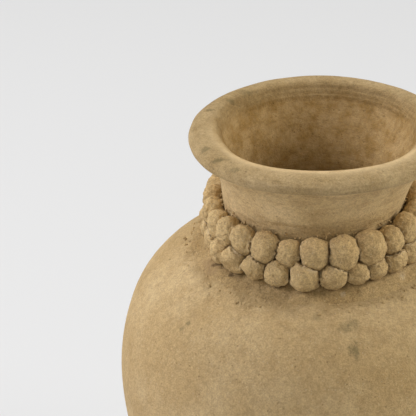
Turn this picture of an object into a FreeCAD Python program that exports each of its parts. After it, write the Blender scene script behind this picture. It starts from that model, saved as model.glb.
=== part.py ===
"""A handmade clay storage jar with a collar of clay pellets round its neck.

The jar is built up in rings, as a potter does it: a flat base disc, three ring walls that
meet at bevelled seams, a neck collar, a drifting lip coil, a coil of clay pressed into the
corner under the neck, and two rows of hand-rolled pellets seated on it.
Lengths are in millimetres and angles in degrees. The origin is the middle of the foot, +Z up.
"""
import FreeCAD, Part
import math
import os

import Sketcher
from FreeCAD import Vector

# Driving dimensions, one cell of the sheet each.
SIZES = {
    # Body outline, outside
    "base_radius": 105.0,
    "belly_radius": 236.0,
    "belly_height": 300.0,
    "body_height": 487.0,
    "body_wall": 14.0,
    "foot_rounding": 5.0,
    # Bevelled seams between the ring walls
    "lower_seam_drop": 122.0,
    "upper_seam_rise": 52.0,
    "seam_slope": 25.0,
    "seam_reach": 90.0,
    # Neck collar
    "neck_waist_radius": 104.5,
    "neck_waist_rise": 13.0,
    "neck_arc_radius": 208.0,
    "neck_wall": 13.0,
    "neck_tongue_depth": 13.0,
    "neck_seam_rise": 62.0,
    # Flare and lip coil
    "neck_height": 125.6,
    "flare_top_drop": 15.6,
    "lip_radius": 151.0,
    "lip_width": 34.5,
    "lip_inner_rise": 2.5,
    "lip_crown_radius": 30.0,
    "lip_edge_radius": 7.0,
    "lip_skirt_radius": 40.0,
    "lip_inner_rounding": 3.0,
    "lip_drift_right": 7.0,
    "lip_drift_back": 3.0,
    # Bedding coil in the corner between neck and shoulder
    "bed_rise": 23.0,
    "bed_reach": 42.5,
    "bed_toe_drop": 19.6,
    "bed_hollow_reach": 13.5,
    "bed_hollow_drop": 22.0,
    "bed_overlap": 4.0,
    # Pellet rows
    "upper_row_rise": 33.0,
    "upper_row_reach": 17.0,
    "lower_row_rise": 5.5,
    "lower_row_reach": 25.5,
}

# The lower arc's radius over that of the arc that would reach the foot with no straight part.
LOWER_ARC_SHARE = 0.87
# The upper outline's arcs, and how high the first one rises, over the height above the belly.
BELLY_ARC_SHARE = 1.406
SHOULDER_RISE_SHARE = 0.444
SHOULDER_ARC_SHARE = 0.733

# Heights and radii that follow from the driving dimensions.
WORKED = {
    "belly_reach": "=sizes.belly_radius - sizes.base_radius",
    "foot_arc_radius": "=(belly_reach^2 + sizes.belly_height^2) / (belly_reach + belly_reach)",
    "lower_arc_radius": f"={LOWER_ARC_SHARE} * foot_arc_radius",
    "shoulder_height": "=sizes.body_height - sizes.belly_height",
    "belly_arc_radius": f"={BELLY_ARC_SHARE} * shoulder_height",
    "shoulder_rise": f"={SHOULDER_RISE_SHARE} * shoulder_height",
    "shoulder_arc_radius": f"={SHOULDER_ARC_SHARE} * shoulder_height",
    "shoulder_start": "=sizes.belly_height + shoulder_rise",
    "lower_seam_height": "=sizes.belly_height - sizes.lower_seam_drop",
    "upper_seam_height": "=sizes.belly_height + sizes.upper_seam_rise",
    "neck_waist_height": "=sizes.body_height + sizes.neck_waist_rise",
    "neck_centre_across": "=sizes.neck_waist_radius + sizes.neck_arc_radius",
    "neck_foot_radius": "=neck_centre_across - sqrt(sizes.neck_arc_radius^2 - sizes.neck_waist_rise^2)",
    "neck_tongue_height": "=sizes.body_height - sizes.neck_tongue_depth",
    "neck_inner_arc_radius": "=sizes.neck_arc_radius + sizes.neck_wall",
    "neck_seam_height": "=sizes.body_height + sizes.neck_seam_rise",
    "lip_height": "=sizes.body_height + sizes.neck_height",
    "flare_top": "=lip_height - sizes.flare_top_drop",
    "flare_start": "=neck_seam_height - sizes.neck_wall",
    "lip_inner_radius": "=sizes.lip_radius - sizes.lip_width",
    "lip_inner_height": "=lip_height + sizes.lip_inner_rise",
    "lip_edge_across": "=sizes.lip_radius - sizes.lip_edge_radius",
    "flare_rise": "=flare_top - neck_waist_height",
    "flare_top_inner": "=neck_centre_across - sqrt(neck_inner_arc_radius^2 - flare_rise^2)",
    "flare_top_outer": "=neck_centre_across - sqrt(sizes.neck_arc_radius^2 - flare_rise^2)",
    "bed_top": "=sizes.body_height + sizes.bed_rise",
    "bed_toe": "=sizes.body_height - sizes.bed_toe_drop",
    "bed_toe_radius": "=sizes.neck_waist_radius + sizes.bed_reach",
    "bed_hollow": "=bed_top - sizes.bed_hollow_drop",
    "bed_hollow_across": "=sizes.neck_waist_radius + sizes.bed_hollow_reach",
    "bed_inner_radius": "=sizes.neck_waist_radius - sizes.bed_overlap",
    "bed_root": "=sizes.body_height - sizes.bed_overlap",
    "bed_sole": "=bed_toe - sizes.bed_overlap - sizes.bed_overlap",
    "upper_row_height": "=sizes.body_height + sizes.upper_row_rise",
    "lower_row_height": "=sizes.body_height + sizes.lower_row_rise",
    "upper_row_radius": "=sizes.neck_waist_radius + sizes.upper_row_reach",
    "lower_row_radius": "=sizes.neck_waist_radius + sizes.lower_row_reach",
    "neck_row_offset": "=upper_row_height - neck_waist_height",
    "neck_row_radius": "=neck_centre_across - sqrt(sizes.neck_arc_radius^2 - neck_row_offset^2)",
}

# Each pellet's width as a share of its row's mean width, going round from the row's start.
UPPER_WIDTH_SHARES = (
    0.95, 0.92, 0.94, 0.98, 0.89, 1.00, 1.06, 1.10, 0.96, 0.97, 1.03, 0.98, 1.05,
    0.94, 1.08, 1.01, 0.97, 1.10, 0.99, 1.04, 0.93, 1.06, 1.02, 0.99, 1.04,
)
LOWER_WIDTH_SHARES = (
    0.98, 1.00, 0.92, 0.97, 1.11, 1.02, 0.85, 0.84, 0.97, 1.03, 0.98, 1.06, 0.95, 1.09,
    1.00, 1.04, 0.93, 1.07, 1.02, 0.98, 1.08, 1.01, 0.96, 1.05, 1.03, 0.99, 1.07,
)
# How far each pellet sits above its row's height, as a share of its own radius.
UPPER_RISE_SHARES = (
    -0.15, 0.10, 0.12, 0.10, -0.04, 0.05, 0.00, 0.04, -0.10, 0.08, 0.00, -0.06, 0.05,
    0.10, -0.05, 0.03, -0.08, 0.06, 0.00, 0.08, -0.06, 0.04, -0.03, 0.07, 0.02,
)
LOWER_RISE_SHARES = (
    0.00, 0.12, 0.10, 0.00, 0.00, -0.05, -0.08, -0.12, 0.12, 0.04, -0.05, 0.06, 0.00, -0.08,
    0.05, 0.00, 0.08, -0.04, 0.06, -0.06, 0.00, 0.05, -0.05, 0.08, 0.00, -0.06, 0.04,
)
UPPER_ROW_START = -167.6
LOWER_ROW_START = -156.9
FULL_TURN = 360.0
# Where the turned pieces close on themselves: a direction well clear of every pellet's edges.
CLOSING_DIRECTION = 155.0
LIP_CLOSING_DIRECTION = 65.0
# Two measures that differ by less than this share are the same.
SAME_SHARE = 0.0001
SEAT_SLOPE = 45.0
# A pellet's radius over half its width: above 1, so that neighbours squeeze flat.
UPPER_SQUEEZE_SHARE = 1.085
LOWER_SQUEEZE_SHARE = 1.055
# How far a pellet's middle stands off the neck, as a share of its radius.
SEAT_SHARE = 0.97
# The flare's rings: how high each one is, and how far it has drifted with the lip.
FLARE_HEIGHT_SHARES = (0.0, 0.25, 0.5, 0.75, 1.0)
FLARE_DRIFT_SHARES = (0.0, 0.04, 0.35, 0.8, 1.0)

doc = FreeCAD.newDocument("jar")


def fill_sheet(name, cells):
    """Make a sheet with one named cell for each entry."""
    filled = doc.addObject("Spreadsheet::Sheet", name)
    for row, (alias, value) in enumerate(cells.items(), start=1):
        filled.set(f"A{row}", alias)
        filled.setAlias(f"B{row}", alias)
        filled.set(f"B{row}", str(value))
    doc.recompute()
    return filled


sizes = fill_sheet("sizes", SIZES)
worked = fill_sheet("worked", WORKED)


def size(alias):
    """Return a driving or worked-out dimension as the sheets hold it."""
    holder = sizes if alias in SIZES else worked
    return float(getattr(holder, alias))


def cell(alias):
    """Return the way an expression names a dimension."""
    return f"sizes.{alias}" if alias in SIZES else f"worked.{alias}"


def point(across, up):
    """Return the point of a half outline at two named dimensions."""
    return Vector(size(across), size(up), 0)


def circle_meet(centre_a, radius_a, centre_b, radius_b, side):
    """Return one of the two points where two circles meet."""
    line = centre_b - centre_a
    along = (line.Length ** 2 + radius_a ** 2 - radius_b ** 2) / (line.Length + line.Length)
    aside = math.sqrt(max(radius_a ** 2 - along ** 2, 0))
    ahead = Vector(line.x, line.y, 0).normalize()
    return centre_a + ahead * along + Vector(-ahead.y, ahead.x, 0) * (side * aside)


def arc_round(centre, start, end):
    """Return the short arc about a centre between two points of its circle."""
    middle = (start + end) * 0.5 - centre
    crown = centre + middle.normalize() * (start - centre).Length
    return Part.Arc(start, crown, end)


def tangent_point(outside, centre, radius, side):
    """Return where the line from a point outside a circle touches it, on the side named."""
    line = centre - outside
    swing = side * math.asin(radius / line.Length)
    reach = math.sqrt(line.Length ** 2 - radius ** 2)
    heading = math.atan2(line.y, line.x) + swing
    return outside + Vector(math.cos(heading), math.sin(heading), 0) * reach


class Outline:
    """A closed half outline in a sketch, whose measures are bound to the sheets."""

    def __init__(self, body, label, edges):
        self.sketch = body.newObject("Sketcher::SketchObject", f"{label}_outline")
        planes = body.Origin.OriginFeatures
        upright = next(plane for plane in planes if plane.Role == "XZ_Plane")
        self.sketch.AttachmentSupport = [(upright, "")]
        self.sketch.MapMode = "FlatFace"
        self.edges = edges
        for edge in edges:
            self.sketch.addGeometry(edge, False)

    def end_at(self, edge, place):
        """Return which end of an edge lies at a place: 1 its start, 2 its end."""
        gaps = [(self.sketch.getPoint(edge, end) - place).Length for end in (1, 2)]
        return 1 + gaps.index(min(gaps))

    def join(self, smooth_ends=()):
        """Join each edge to the next one, tangent where the joint is smooth."""
        for edge, shape in enumerate(self.edges):
            after = (edge + 1) % len(self.edges)
            meet = shape.EndPoint if hasattr(shape, "EndPoint") else shape.toShape().Vertexes[-1].Point
            kind = "Tangent" if edge in smooth_ends else "Coincident"
            ends = self.end_at(edge, meet), self.end_at(after, meet)
            self.sketch.addConstraint(Sketcher.Constraint(kind, edge, ends[0], after, ends[1]))

    def bind(self, kind, name, alias, *place):
        """Add one measure and bind it to a named dimension."""
        index = self.sketch.addConstraint(Sketcher.Constraint(kind, *place, size(alias)))
        self.sketch.renameConstraint(index, name)
        self.sketch.setExpression(f"Constraints.{name}", cell(alias))

    def across(self, edge, end, alias):
        """Hold one end (1, 2) or the centre (3) of an edge at a named radius."""
        self.bind("DistanceX", f"across_{edge}_{end}", alias, -1, 1, edge, end)

    def up(self, edge, end, alias):
        """Hold one end (1, 2) or the centre (3) of an edge at a named height."""
        self.bind("DistanceY", f"up_{edge}_{end}", alias, -1, 1, edge, end)

    def radius(self, edge, alias):
        """Hold the radius of an arc."""
        self.bind("Radius", f"radius_{edge}", alias, edge)

    def level(self, *edges):
        """Hold edges level."""
        for edge in edges:
            self.sketch.addConstraint(Sketcher.Constraint("Horizontal", edge))

    def upright(self, *edges):
        """Hold edges upright."""
        for edge in edges:
            self.sketch.addConstraint(Sketcher.Constraint("Vertical", edge))


def turn(body, outline, label):
    """Turn an outline once round the upright axis."""
    turned = body.newObject("PartDesign::Revolution", f"{label}_turned")
    turned.Profile = outline.sketch
    turned.ReferenceAxis = (outline.sketch, ["V_Axis"])
    turned.Angle = FULL_TURN
    body.Placement.Rotation = FreeCAD.Rotation(Vector(0, 0, 1), CLOSING_DIRECTION)
    doc.recompute()
    return body


def boolean(kind, name, base, tool):
    """Make a cut, common or fuse of two objects."""
    result = doc.addObject(f"Part::{kind}", name)
    result.Base = base
    result.Tool = tool
    return result


def body_form():
    """Turn the solid outer form of the body, from the foot to the corner under the neck."""
    label = "body_form"
    body = doc.addObject("PartDesign::Body", label)
    belly = point("belly_radius", "belly_height")
    lower_centre = belly - Vector(size("lower_arc_radius"), 0, 0)
    belly_centre = belly - Vector(size("belly_arc_radius"), 0, 0)
    swing = math.asin(size("shoulder_rise") / size("belly_arc_radius"))
    out = Vector(math.cos(swing), math.sin(swing), 0)
    shoulder = belly_centre + out * size("belly_arc_radius")
    shoulder_centre = shoulder - out * size("shoulder_arc_radius")
    middle = Vector(0, 0, 0)
    foot = Vector(size("base_radius"), 0, 0)
    corner = point("neck_foot_radius", "body_height")
    foot_end = tangent_point(foot, lower_centre, size("lower_arc_radius"), -1)
    shoulder_end = tangent_point(corner, shoulder_centre, size("shoulder_arc_radius"), 1)
    top = Vector(0, corner.y, 0)
    edges = [
        Part.LineSegment(middle, foot),
        Part.LineSegment(foot, foot_end),
        arc_round(lower_centre, foot_end, belly),
        arc_round(belly_centre, belly, shoulder),
        arc_round(shoulder_centre, shoulder, shoulder_end),
        Part.LineSegment(shoulder_end, corner),
        Part.LineSegment(corner, top),
        Part.LineSegment(top, middle),
    ]
    outline = Outline(body, label, edges)
    outline.join(smooth_ends=(1, 3, 4))
    outline.sketch.addConstraint(Sketcher.Constraint("Coincident", 0, 1, -1, 1))
    outline.level(0, 6)
    outline.upright(7)
    outline.sketch.addConstraint(Sketcher.Constraint("Horizontal", 2, 3, 3, 1))
    outline.sketch.addConstraint(Sketcher.Constraint("Horizontal", 3, 3, 3, 1))
    outline.across(1, 1, "base_radius")
    outline.across(3, 1, "belly_radius")
    outline.up(3, 1, "belly_height")
    outline.up(4, 1, "shoulder_start")
    outline.across(6, 1, "neck_foot_radius")
    outline.up(6, 1, "body_height")
    outline.radius(2, "lower_arc_radius")
    outline.radius(3, "belly_arc_radius")
    outline.radius(4, "shoulder_arc_radius")
    return turn(body, outline, label)


def body_shell(form):
    """Hollow the body form to an even wall, open where the neck stands."""
    faces = form.Shape.Faces
    flat = [number for number, face in enumerate(faces, start=1) if isinstance(face.Surface, Part.Plane)]
    top = max(flat, key=lambda number: faces[number - 1].CenterOfMass.z)
    shell = doc.addObject("Part::Thickness", "body_shell")
    shell.Faces = (form, [f"Face{top}"])
    shell.setExpression("Value", "-sizes.body_wall")
    shell.Mode = "Skin"
    shell.Join = "Arc"
    doc.recompute()
    return shell


def seam_tool(name, reference, height):
    """Make the cone that holds everything above a seam, which rises outwards."""
    tool = doc.addObject("Part::Cone", name)
    tool.setExpression("Radius1", f"{reference} - sizes.seam_reach")
    tool.setExpression(
        "Radius2", f"{reference} - sizes.seam_reach + worked.lip_height / tan(sizes.seam_slope)"
    )
    tool.setExpression("Height", "worked.lip_height")
    tool.setExpression("Placement.Base.z", f"{height} - sizes.seam_reach * tan(sizes.seam_slope)")
    return tool


def seat_tool():
    """Make the steep cone that the neck's tongue stands on."""
    tool = doc.addObject("Part::Cone", "neck_seat")
    tool.setExpression("Radius1", "worked.neck_foot_radius - sizes.seam_reach")
    tool.setExpression(
        "Radius2", f"worked.neck_foot_radius - sizes.seam_reach + worked.lip_height / tan({SEAT_SLOPE})"
    )
    tool.setExpression("Height", "worked.lip_height")
    tool.setExpression("Placement.Base.z", f"sizes.body_height - sizes.seam_reach * tan({SEAT_SLOPE})")
    return tool


def floor_tool():
    """Make the round block that holds everything above the base disc."""
    tool = doc.addObject("Part::Cylinder", "above_floor")
    tool.setExpression("Radius", "sizes.belly_radius + sizes.body_wall")
    tool.setExpression("Height", "worked.lip_height")
    tool.setExpression("Placement.Base.z", "sizes.body_wall")
    return tool


def base_disc(shell, above_floor):
    """Cut the flat slab that the jar stands on, its lower edge rounded."""
    slab = boolean("Cut", "base_slab", shell, above_floor)
    doc.recompute()
    lowest = [
        number
        for number, edge in enumerate(slab.Shape.Edges, start=1)
        if isinstance(edge.Curve, Part.Circle) and edge.BoundBox.ZMax < size("foot_rounding")
    ]
    disc = doc.addObject("Part::Fillet", "base_disc")
    disc.Base = slab
    disc.Edges = [(number, size("foot_rounding"), size("foot_rounding")) for number in lowest]
    doc.recompute()
    return disc


def ring_wall(name, shell, above_lower_seam, above_upper_seam):
    """Cut one ring of the wall, between two seams."""
    upper = boolean("Common", f"{name}_and_above", shell, above_lower_seam)
    return boolean("Cut", name, upper, above_upper_seam)


def neck_collar(seat, seam):
    """Turn the neck: a waisted collar whose tongue stands in the shoulder's bevelled mouth."""
    label = "neck_form"
    body = doc.addObject("PartDesign::Body", label)
    centre = point("neck_centre_across", "neck_waist_height")

    def on_arc(radius, height):
        rise = size(height) - centre.y
        return Vector(centre.x - math.sqrt(size(radius) ** 2 - rise ** 2), size(height), 0)

    inner_foot = on_arc("neck_inner_arc_radius", "neck_tongue_height")
    outer_foot = on_arc("neck_arc_radius", "neck_tongue_height")
    outer_top = on_arc("neck_arc_radius", "flare_top")
    inner_top = on_arc("neck_inner_arc_radius", "flare_top")
    edges = [
        Part.LineSegment(inner_foot, outer_foot),
        arc_round(centre, outer_foot, outer_top),
        Part.LineSegment(outer_top, inner_top),
        arc_round(centre, inner_top, inner_foot),
    ]
    outline = Outline(body, label, edges)
    outline.join()
    outline.level(0, 2)
    outline.across(1, 3, "neck_centre_across")
    outline.up(1, 3, "neck_waist_height")
    outline.radius(1, "neck_arc_radius")
    outline.sketch.addConstraint(Sketcher.Constraint("Coincident", 1, 3, 3, 3))
    outline.radius(3, "neck_inner_arc_radius")
    outline.up(0, 1, "neck_tongue_height")
    outline.up(2, 1, "flare_top")
    turn(body, outline, label)
    seated = boolean("Common", "neck_seated", body, seat)
    return boolean("Cut", "neck_collar", seated, seam)


def flare_skin(name, arc_radius):
    """Loft one skin of the flare through rings that drift with the lip."""
    rings = []
    for number, (height, drift) in enumerate(zip(FLARE_HEIGHT_SHARES, FLARE_DRIFT_SHARES), start=1):
        ring = doc.addObject("Part::Circle", f"{name}_ring_{number}")
        rise = f"(worked.flare_start + {height} * (worked.flare_top - worked.flare_start))"
        offset = f"({rise} - worked.neck_waist_height)"
        ring.setExpression("Radius", f"worked.neck_centre_across - sqrt({arc_radius}^2 - {offset}^2)")
        ring.setExpression("Placement.Base.x", f"{drift} * sizes.lip_drift_right")
        ring.setExpression("Placement.Base.y", f"{drift} * sizes.lip_drift_back")
        ring.setExpression("Placement.Base.z", rise)
        rings.append(ring)
    skin = doc.addObject("Part::Loft", name)
    skin.Sections = rings
    skin.Solid = True
    skin.Ruled = False
    doc.recompute()
    return skin


def lip_coil():
    """Turn the thick lip: a flat crown, a rounded edge and a hollow skirt under it."""
    label = "lip_coil"
    body = doc.addObject("PartDesign::Body", label)
    edge_centre = point("lip_edge_across", "lip_height")
    edge_radius = size("lip_edge_radius")
    crown_radius = size("lip_crown_radius")
    skirt_radius = size("lip_skirt_radius")
    inner = point("lip_inner_radius", "lip_inner_height")
    root = point("flare_top_outer", "flare_top")
    throat = point("flare_top_inner", "flare_top")
    crown_centre = circle_meet(inner, crown_radius, edge_centre, crown_radius - edge_radius, -1)
    crown_end = edge_centre + (edge_centre - crown_centre).normalize() * edge_radius
    skirt_centre = circle_meet(root, skirt_radius, edge_centre, skirt_radius + edge_radius, -1)
    skirt_start = edge_centre + (skirt_centre - edge_centre).normalize() * edge_radius
    edges = [
        Part.LineSegment(throat, inner),
        arc_round(crown_centre, inner, crown_end),
        Part.Arc(crown_end, edge_centre + Vector(edge_radius, 0, 0), skirt_start),
        arc_round(skirt_centre, skirt_start, root),
        Part.LineSegment(root, throat),
    ]
    outline = Outline(body, label, edges)
    outline.join(smooth_ends=(1, 2))
    outline.level(4)
    outline.across(0, 1, "flare_top_inner")
    outline.up(0, 1, "flare_top")
    outline.across(0, 2, "lip_inner_radius")
    outline.up(0, 2, "lip_inner_height")
    outline.across(2, 3, "lip_edge_across")
    outline.up(2, 3, "lip_height")
    outline.across(4, 1, "flare_top_outer")
    outline.radius(1, "lip_crown_radius")
    outline.radius(2, "lip_edge_radius")
    outline.radius(3, "lip_skirt_radius")
    turn(body, outline, label)
    body.Placement.Rotation = FreeCAD.Rotation(Vector(0, 0, 1), LIP_CLOSING_DIRECTION)
    body.setExpression("Placement.Base.x", "sizes.lip_drift_right")
    body.setExpression("Placement.Base.y", "sizes.lip_drift_back")
    doc.recompute()
    turned = body.Tip
    mouth_edge = next(
        f"Edge{number}"
        for number, edge in enumerate(turned.Shape.Edges, start=1)
        if isinstance(edge.Curve, Part.Circle)
        and math.isclose(edge.Curve.Radius, inner.x, rel_tol=SAME_SHARE)
    )
    rounded = body.newObject("PartDesign::Fillet", f"{label}_rounded")
    rounded.Base = (turned, [mouth_edge])
    rounded.setExpression("Radius", "sizes.lip_inner_rounding")
    doc.recompute()
    return body


def rim_lip(seam):
    """Join the flare above the neck's seam and the lip coil on top of it, as one thrown piece."""
    outer = flare_skin("flare_outside", "sizes.neck_arc_radius")
    inner = flare_skin("flare_inside", "worked.neck_inner_arc_radius")
    flare = boolean("Cut", "flare_wall", outer, inner)
    above = boolean("Common", "flare_above_seam", flare, seam)
    return boolean("Fuse", "rim_lip", above, lip_coil())


def bedding_form():
    """Turn the rough form of the coil that fills the corner under the neck, hollow outwards."""
    label = "bedding_form"
    body = doc.addObject("PartDesign::Body", label)
    top_inner = point("bed_inner_radius", "bed_top")
    top_outer = point("neck_waist_radius", "bed_top")
    toe = point("bed_toe_radius", "bed_toe")
    sole = point("bed_toe_radius", "bed_sole")
    root = point("bed_inner_radius", "bed_root")
    hollow = point("bed_hollow_across", "bed_hollow")
    edges = [
        Part.LineSegment(root, top_inner),
        Part.LineSegment(top_inner, top_outer),
        Part.LineSegment(top_outer, hollow),
        Part.LineSegment(hollow, toe),
        Part.LineSegment(toe, sole),
        Part.LineSegment(sole, root),
    ]
    outline = Outline(body, label, edges)
    outline.join()
    outline.level(1)
    outline.upright(0, 4)
    outline.across(0, 1, "bed_inner_radius")
    outline.up(0, 1, "bed_root")
    outline.up(1, 1, "bed_top")
    outline.across(1, 2, "neck_waist_radius")
    outline.across(3, 1, "bed_hollow_across")
    outline.up(3, 1, "bed_hollow")
    outline.across(4, 1, "bed_toe_radius")
    outline.up(4, 1, "bed_toe")
    outline.up(4, 2, "bed_sole")
    return turn(body, outline, label)


def bedding_coil(rough, form, neck):
    """Press the coil into its corner, against the neck and the shoulder."""
    on_neck = boolean("Cut", "bedding_on_neck", rough, neck)
    return boolean("Cut", "bedding_coil", on_neck, form)


class Pellet:
    """One hand-rolled ball of clay: its slice of the row, and the piece that is left of it."""

    def __init__(self, name, start, width):
        self.name = name
        self.start = start
        self.width = width
        self.piece = None

    def middle(self):
        """Return the direction of the pellet from the jar's axis."""
        return self.start + self.width / 2

    def overlaps(self, other):
        """Say whether two pellets share a direction."""
        apart = abs((self.middle() - other.middle() + FULL_TURN / 2) % FULL_TURN - FULL_TURN / 2)
        return apart < (self.width + other.width) / 2

    def roll(self, radius, across, up):
        """Make the ball and flatten it where its neighbours press on it."""
        ball = doc.addObject("Part::Sphere", f"{self.name}_ball")
        ball.setExpression("Radius", radius)
        ball.setExpression("Placement.Base.x", f"({across}) * cos({self.middle()})")
        ball.setExpression("Placement.Base.y", f"({across}) * sin({self.middle()})")
        ball.setExpression("Placement.Base.z", up)
        slice_tool = doc.addObject("Part::Cylinder", f"{self.name}_slice")
        slice_tool.setExpression("Radius", "sizes.belly_radius")
        slice_tool.setExpression("Height", "worked.lip_height")
        slice_tool.Angle = self.width
        slice_tool.Placement.Rotation = FreeCAD.Rotation(Vector(0, 0, 1), self.start)
        self.piece = boolean("Common", f"{self.name}_rolled", ball, slice_tool)

    def press_on(self, *seats):
        """Cut away what the pellet is pressed against."""
        for number, seat in enumerate(seats, start=1):
            last = number == len(seats)
            name = self.name if last else f"{self.name}_pressed_{number}"
            self.piece = boolean("Cut", name, self.piece, seat)


def pellet_row(prefix, start, width_shares):
    """Share a full turn out among the pellets of a row."""
    row = []
    for number, share in enumerate(width_shares, start=1):
        width = FULL_TURN * share / sum(width_shares)
        row.append(Pellet(f"{prefix}_{number:02d}", start, width))
        start += width
    return row


def upper_pellets(neck):
    """Seat the upper row against the neck."""
    row = pellet_row("upper_pellet", UPPER_ROW_START, UPPER_WIDTH_SHARES)
    for pellet, rise in zip(row, UPPER_RISE_SHARES):
        radius = f"{UPPER_SQUEEZE_SHARE} * worked.upper_row_radius * sin({pellet.width} / 2)"
        across = f"worked.neck_row_radius + {SEAT_SHARE} * {radius}"
        pellet.roll(radius, across, f"worked.upper_row_height + {rise} * {radius}")
        pellet.press_on(neck)
    return row


def lower_pellets(upper_row, bed, form):
    """Seat the lower row on the bedding coil, pressed down by the row above."""
    row = pellet_row("lower_pellet", LOWER_ROW_START, LOWER_WIDTH_SHARES)
    for pellet, rise in zip(row, LOWER_RISE_SHARES):
        radius = f"{LOWER_SQUEEZE_SHARE} * worked.lower_row_radius * sin({pellet.width} / 2)"
        pellet.roll(radius, "worked.lower_row_radius", f"worked.lower_row_height + {rise} * {radius}")
        above = [other.piece for other in upper_row if pellet.overlaps(other)]
        pellet.press_on(*above, bed, form)
    return row


def build():
    """Build every piece of the jar and return them."""
    form = body_form()
    shell = body_shell(form)
    above_floor = floor_tool()
    lower_seam = seam_tool("above_lower_seam", "sizes.belly_radius", "worked.lower_seam_height")
    upper_seam = seam_tool("above_upper_seam", "sizes.belly_radius", "worked.upper_seam_height")
    neck_seam = seam_tool("above_neck_seam", "sizes.neck_waist_radius", "worked.neck_seam_height")
    seat = seat_tool()
    doc.recompute()
    neck = neck_collar(seat, neck_seam)
    rough_bed = bedding_form()
    pieces = [
        base_disc(shell, above_floor),
        ring_wall("lower_wall", shell, above_floor, lower_seam),
        ring_wall("belly_wall", shell, lower_seam, upper_seam),
        ring_wall("shoulder_wall", shell, upper_seam, seat),
        neck,
        rim_lip(neck_seam),
        bedding_coil(rough_bed, form, neck),
    ]
    upper_row = upper_pellets(neck)
    lower_row = lower_pellets(upper_row, rough_bed, form)
    pieces += [pellet.piece for pellet in upper_row + lower_row]
    doc.recompute()
    return pieces


def check(pieces):
    """Stop if any feature failed, or any piece is empty, broken or not one solid."""
    for item in doc.Objects:
        if "Invalid" in item.State or "Error" in item.State:
            raise RuntimeError(f"{item.Name} failed: {item.State}")
    for piece in pieces:
        shape = piece.Shape
        if shape.isNull() or not shape.isValid() or len(shape.Solids) != 1:
            raise RuntimeError(f"{piece.Label} is not one sound solid")


def write(pieces):
    """Write each piece to a file of its own name."""
    os.makedirs("parts", exist_ok=True)
    for piece in pieces:
        piece.Shape.exportStep(f"parts/{piece.Label}.step")


jar_pieces = build()
check(jar_pieces)
write(jar_pieces)
print(len(jar_pieces), "pieces, top at", round(jar_pieces[5].Shape.BoundBox.ZMax, 2))
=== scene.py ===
"""A handmade clay storage jar with a collar of clay pellets round its neck, in fired coarse clay.

Lengths are in metres, in the jar's own frame: the middle of the foot is the origin and +Z is up.
The walls are rings drawn up from a circle, the pellets are rolled balls pressed on each other,
and every surface is then worked over by hand marks that depend only on the place.
"""
import logging
import math
import random
from collections.abc import Callable
from dataclasses import dataclass, field, replace
from enum import Enum

import bpy
import numpy as np
from mathutils import Matrix, Vector, noise


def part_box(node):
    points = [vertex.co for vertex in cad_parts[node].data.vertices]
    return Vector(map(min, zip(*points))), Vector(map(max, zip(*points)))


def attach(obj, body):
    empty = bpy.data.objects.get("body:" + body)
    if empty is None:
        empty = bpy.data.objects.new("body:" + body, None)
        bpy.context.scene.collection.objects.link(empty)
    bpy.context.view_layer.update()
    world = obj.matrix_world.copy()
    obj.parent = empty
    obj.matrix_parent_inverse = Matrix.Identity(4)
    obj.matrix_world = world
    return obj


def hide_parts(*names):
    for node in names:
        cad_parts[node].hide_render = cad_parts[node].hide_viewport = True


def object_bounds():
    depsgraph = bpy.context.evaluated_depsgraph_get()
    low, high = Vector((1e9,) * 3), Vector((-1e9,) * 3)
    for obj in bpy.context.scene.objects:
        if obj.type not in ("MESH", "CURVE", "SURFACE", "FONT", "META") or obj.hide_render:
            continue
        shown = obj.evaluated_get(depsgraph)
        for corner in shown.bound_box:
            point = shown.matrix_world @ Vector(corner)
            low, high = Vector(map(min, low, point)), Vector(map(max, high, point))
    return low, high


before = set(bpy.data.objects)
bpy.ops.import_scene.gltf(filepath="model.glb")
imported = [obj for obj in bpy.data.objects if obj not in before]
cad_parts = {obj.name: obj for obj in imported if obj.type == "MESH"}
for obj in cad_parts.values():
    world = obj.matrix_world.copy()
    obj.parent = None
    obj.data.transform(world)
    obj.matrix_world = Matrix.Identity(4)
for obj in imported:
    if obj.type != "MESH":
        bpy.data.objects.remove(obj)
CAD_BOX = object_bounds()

LOG = logging.getLogger("jar")
MM = 0.001
HAND_SEED = 8
UP = Vector((0, 0, 1))
ROOT = "root"
Piece = bpy.types.Object
Triple = tuple[float, float, float]
Ring = tuple[float, float]
Inputs = dict[str | int, object]


class Slot(Enum):
    """The record's material slots."""

    BODY = "body_clay"
    NECK = "neck_clay"
    LIP = "lip_clay"
    SLIP = "slip_clay"
    PELLET = "pellet_clay"


class Row(Enum):
    """The two rows of pellets."""

    UPPER = "upper_pellet"
    LOWER = "lower_pellet"


def box_size(node: str) -> Vector:
    """Return how large a node is along each axis."""
    low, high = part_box(node)
    return high - low


def box_middle(node: str) -> Vector:
    """Return the middle of a node's box."""
    low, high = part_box(node)
    return (low + high) / 2


def smooth_step(low: float, high: float, value: float) -> float:
    """Return 0 below low, 1 above high and a soft rise between them."""
    share = min(max((value - low) / (high - low), 0), 1)
    return share * share * (3 - 2 * share)


def rise(start: float, end: float, value: np.ndarray) -> np.ndarray:
    """Return shares that go evenly from 0 at the start to 1 at the end, which may lie below it."""
    return np.clip((value - start) / (end - start), 0, 1)


# Shapes


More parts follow.
